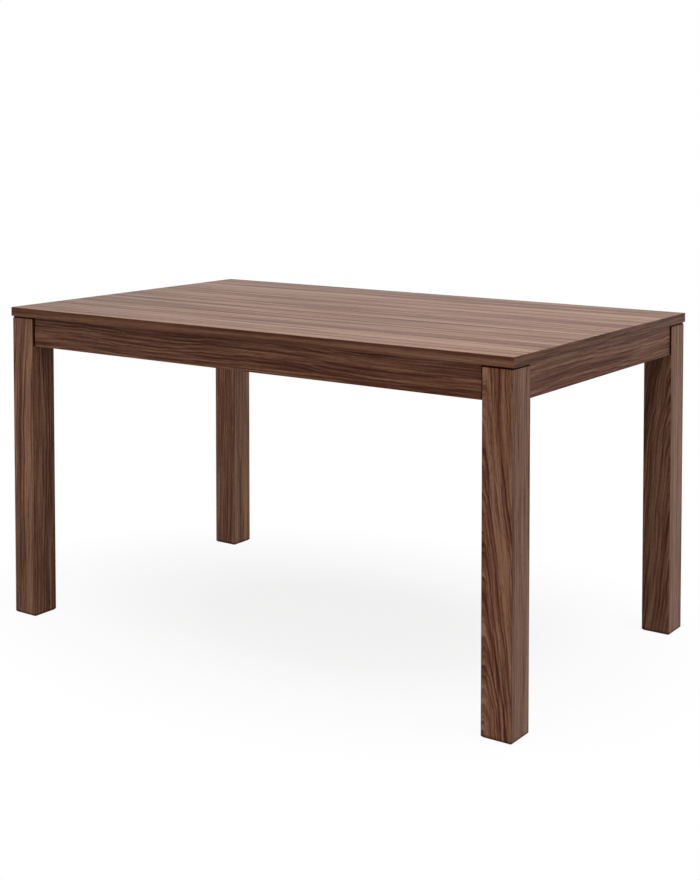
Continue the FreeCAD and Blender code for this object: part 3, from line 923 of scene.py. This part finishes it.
# Studio: a white floor and a white surround. The camera and reflections see the floor glow white, with a
# faint shadow kept near the table, and from below it is clear. Two soft lamps light the table.
FLOOR_SIZE = 40.0
FLOOR_GREY = (0.62, 0.62, 0.62, 1)
WHITE = (1, 1, 1, 1)
SHADOW_SHARE = 0.16
SHADOW_SPAN = (0.35, 1.1)
SHADOW_SHAPE = (1.0, 1.4, 1.0)
SURROUND_LIGHT = 0.27
LAMPS = (
    ("overhead", (1.1, -0.4, 3.4), (0.0, 0.0, 0.0), (3.6, 3.0), 91.0),
    ("side_fill", (4.5, -0.6, 1.6), (0.0, 0.0, 0.5), (2.5, 2.0), 30.0))


def seen_directly(tree):
    """1 where the camera, a reflection or glass looks."""
    path = add_node(tree, "ShaderNodeLightPath").outputs
    first = calc(tree, "MAXIMUM", path["Is Camera Ray"], path["Is Glossy Ray"])
    return calc(tree, "MAXIMUM", first, path["Is Transmission Ray"])


def shadow_reach(tree):
    """Distance on the floor from the table's middle, stretched across the table."""
    spots = add_node(tree, "ShaderNodeTexCoord").outputs
    shaped = {0: spots["Object"], 1: SHADOW_SHAPE}
    reach = add_node(tree, "ShaderNodeVectorMath", shaped, operation="MULTIPLY").outputs[0]
    return add_node(tree, "ShaderNodeVectorMath", {0: reach}, operation="LENGTH").outputs["Value"]


def floor_material():
    """White floor that shows only part of its own shading, and nothing from below."""
    material = bpy.data.materials.new("floor_white")
    material.use_nodes = True
    tree = material.node_tree
    tree.nodes.clear()
    seen = seen_directly(tree)
    lit = add_node(tree, "ShaderNodeBsdfDiffuse", {"Color": blend_colour(tree, seen, FLOOR_GREY, WHITE)})
    glow = add_node(tree, "ShaderNodeEmission", {"Color": WHITE, "Strength": 1.0})
    kept = between(tree, shadow_reach(tree), SHADOW_SPAN, 1 - SHADOW_SHARE, 1.0)
    share = calc(tree, "MULTIPLY", seen, kept)
    above = add_node(tree, "ShaderNodeMixShader", {0: share, 1: lit.outputs[0], 2: glow.outputs[0]})
    below = add_node(tree, "ShaderNodeNewGeometry").outputs["Backfacing"]
    clear = add_node(tree, "ShaderNodeBsdfTransparent")
    whole = add_node(tree, "ShaderNodeMixShader", {0: below, 1: above.outputs[0], 2: clear.outputs[0]})
    add_node(tree, "ShaderNodeOutputMaterial", {"Surface": whole.outputs[0]})
    return material


bpy.ops.mesh.primitive_plane_add(size=FLOOR_SIZE)
floor = bpy.context.object
floor.name = "floor"
floor.data.materials.append(floor_material())

world = bpy.data.worlds.new("surround")
world.use_nodes = True
bpy.context.scene.world = world
tree = world.node_tree
strength = between(tree, seen_directly(tree), (0.0, 1.0), SURROUND_LIGHT, 1.0)
background = tree.nodes["Background"]
background.inputs["Color"].default_value = WHITE
tree.links.new(strength, background.inputs["Strength"])

for name, spot, target, (wide, deep), power in LAMPS:
    lamp = bpy.data.lights.new(name, "AREA")
    lamp.shape = "RECTANGLE"
    lamp.size = wide
    lamp.size_y = deep
    lamp.energy = power
    holder = bpy.data.objects.new(name, lamp)
    bpy.context.scene.collection.objects.link(holder)
    holder.location = spot
    aim = holder.location - Vector(target)
    holder.rotation_euler = aim.to_track_quat("Z", "Y").to_euler()

# Camera: nearly level, off the table's right front corner and above it. The frame is shifted down, as the
# photograph's parallel upright legs show. Its rows and focal length are pixels of a 700 by 880 frame.
CAMERA_SPOT = (2.0614, -2.9036, 1.1933)
CAMERA_TURN = 35.09
CAMERA_PITCH = 2.622
FOCAL_PIXELS = 1481.3
AXIS_ROW = 198.0
FRAME_PIXELS = (700.0, 880.0)
SENSOR_HEIGHT = 36.0
frame_width, frame_height = FRAME_PIXELS
camera = bpy.data.cameras.new("camera")
camera.sensor_fit = "VERTICAL"
camera.sensor_height = SENSOR_HEIGHT
camera.sensor_width = SENSOR_HEIGHT * frame_width / frame_height
camera.lens = FOCAL_PIXELS / frame_height * SENSOR_HEIGHT
camera.shift_y = (AXIS_ROW - frame_height / 2) / frame_height
camera_stand = bpy.data.objects.new("camera", camera)
bpy.context.scene.collection.objects.link(camera_stand)
camera_stand.location = CAMERA_SPOT
camera_stand.rotation_euler = (math.radians(90 - CAMERA_PITCH), 0, math.radians(CAMERA_TURN))
bpy.context.scene.camera = camera_stand
bpy.context.scene.view_settings.view_transform = "Standard"
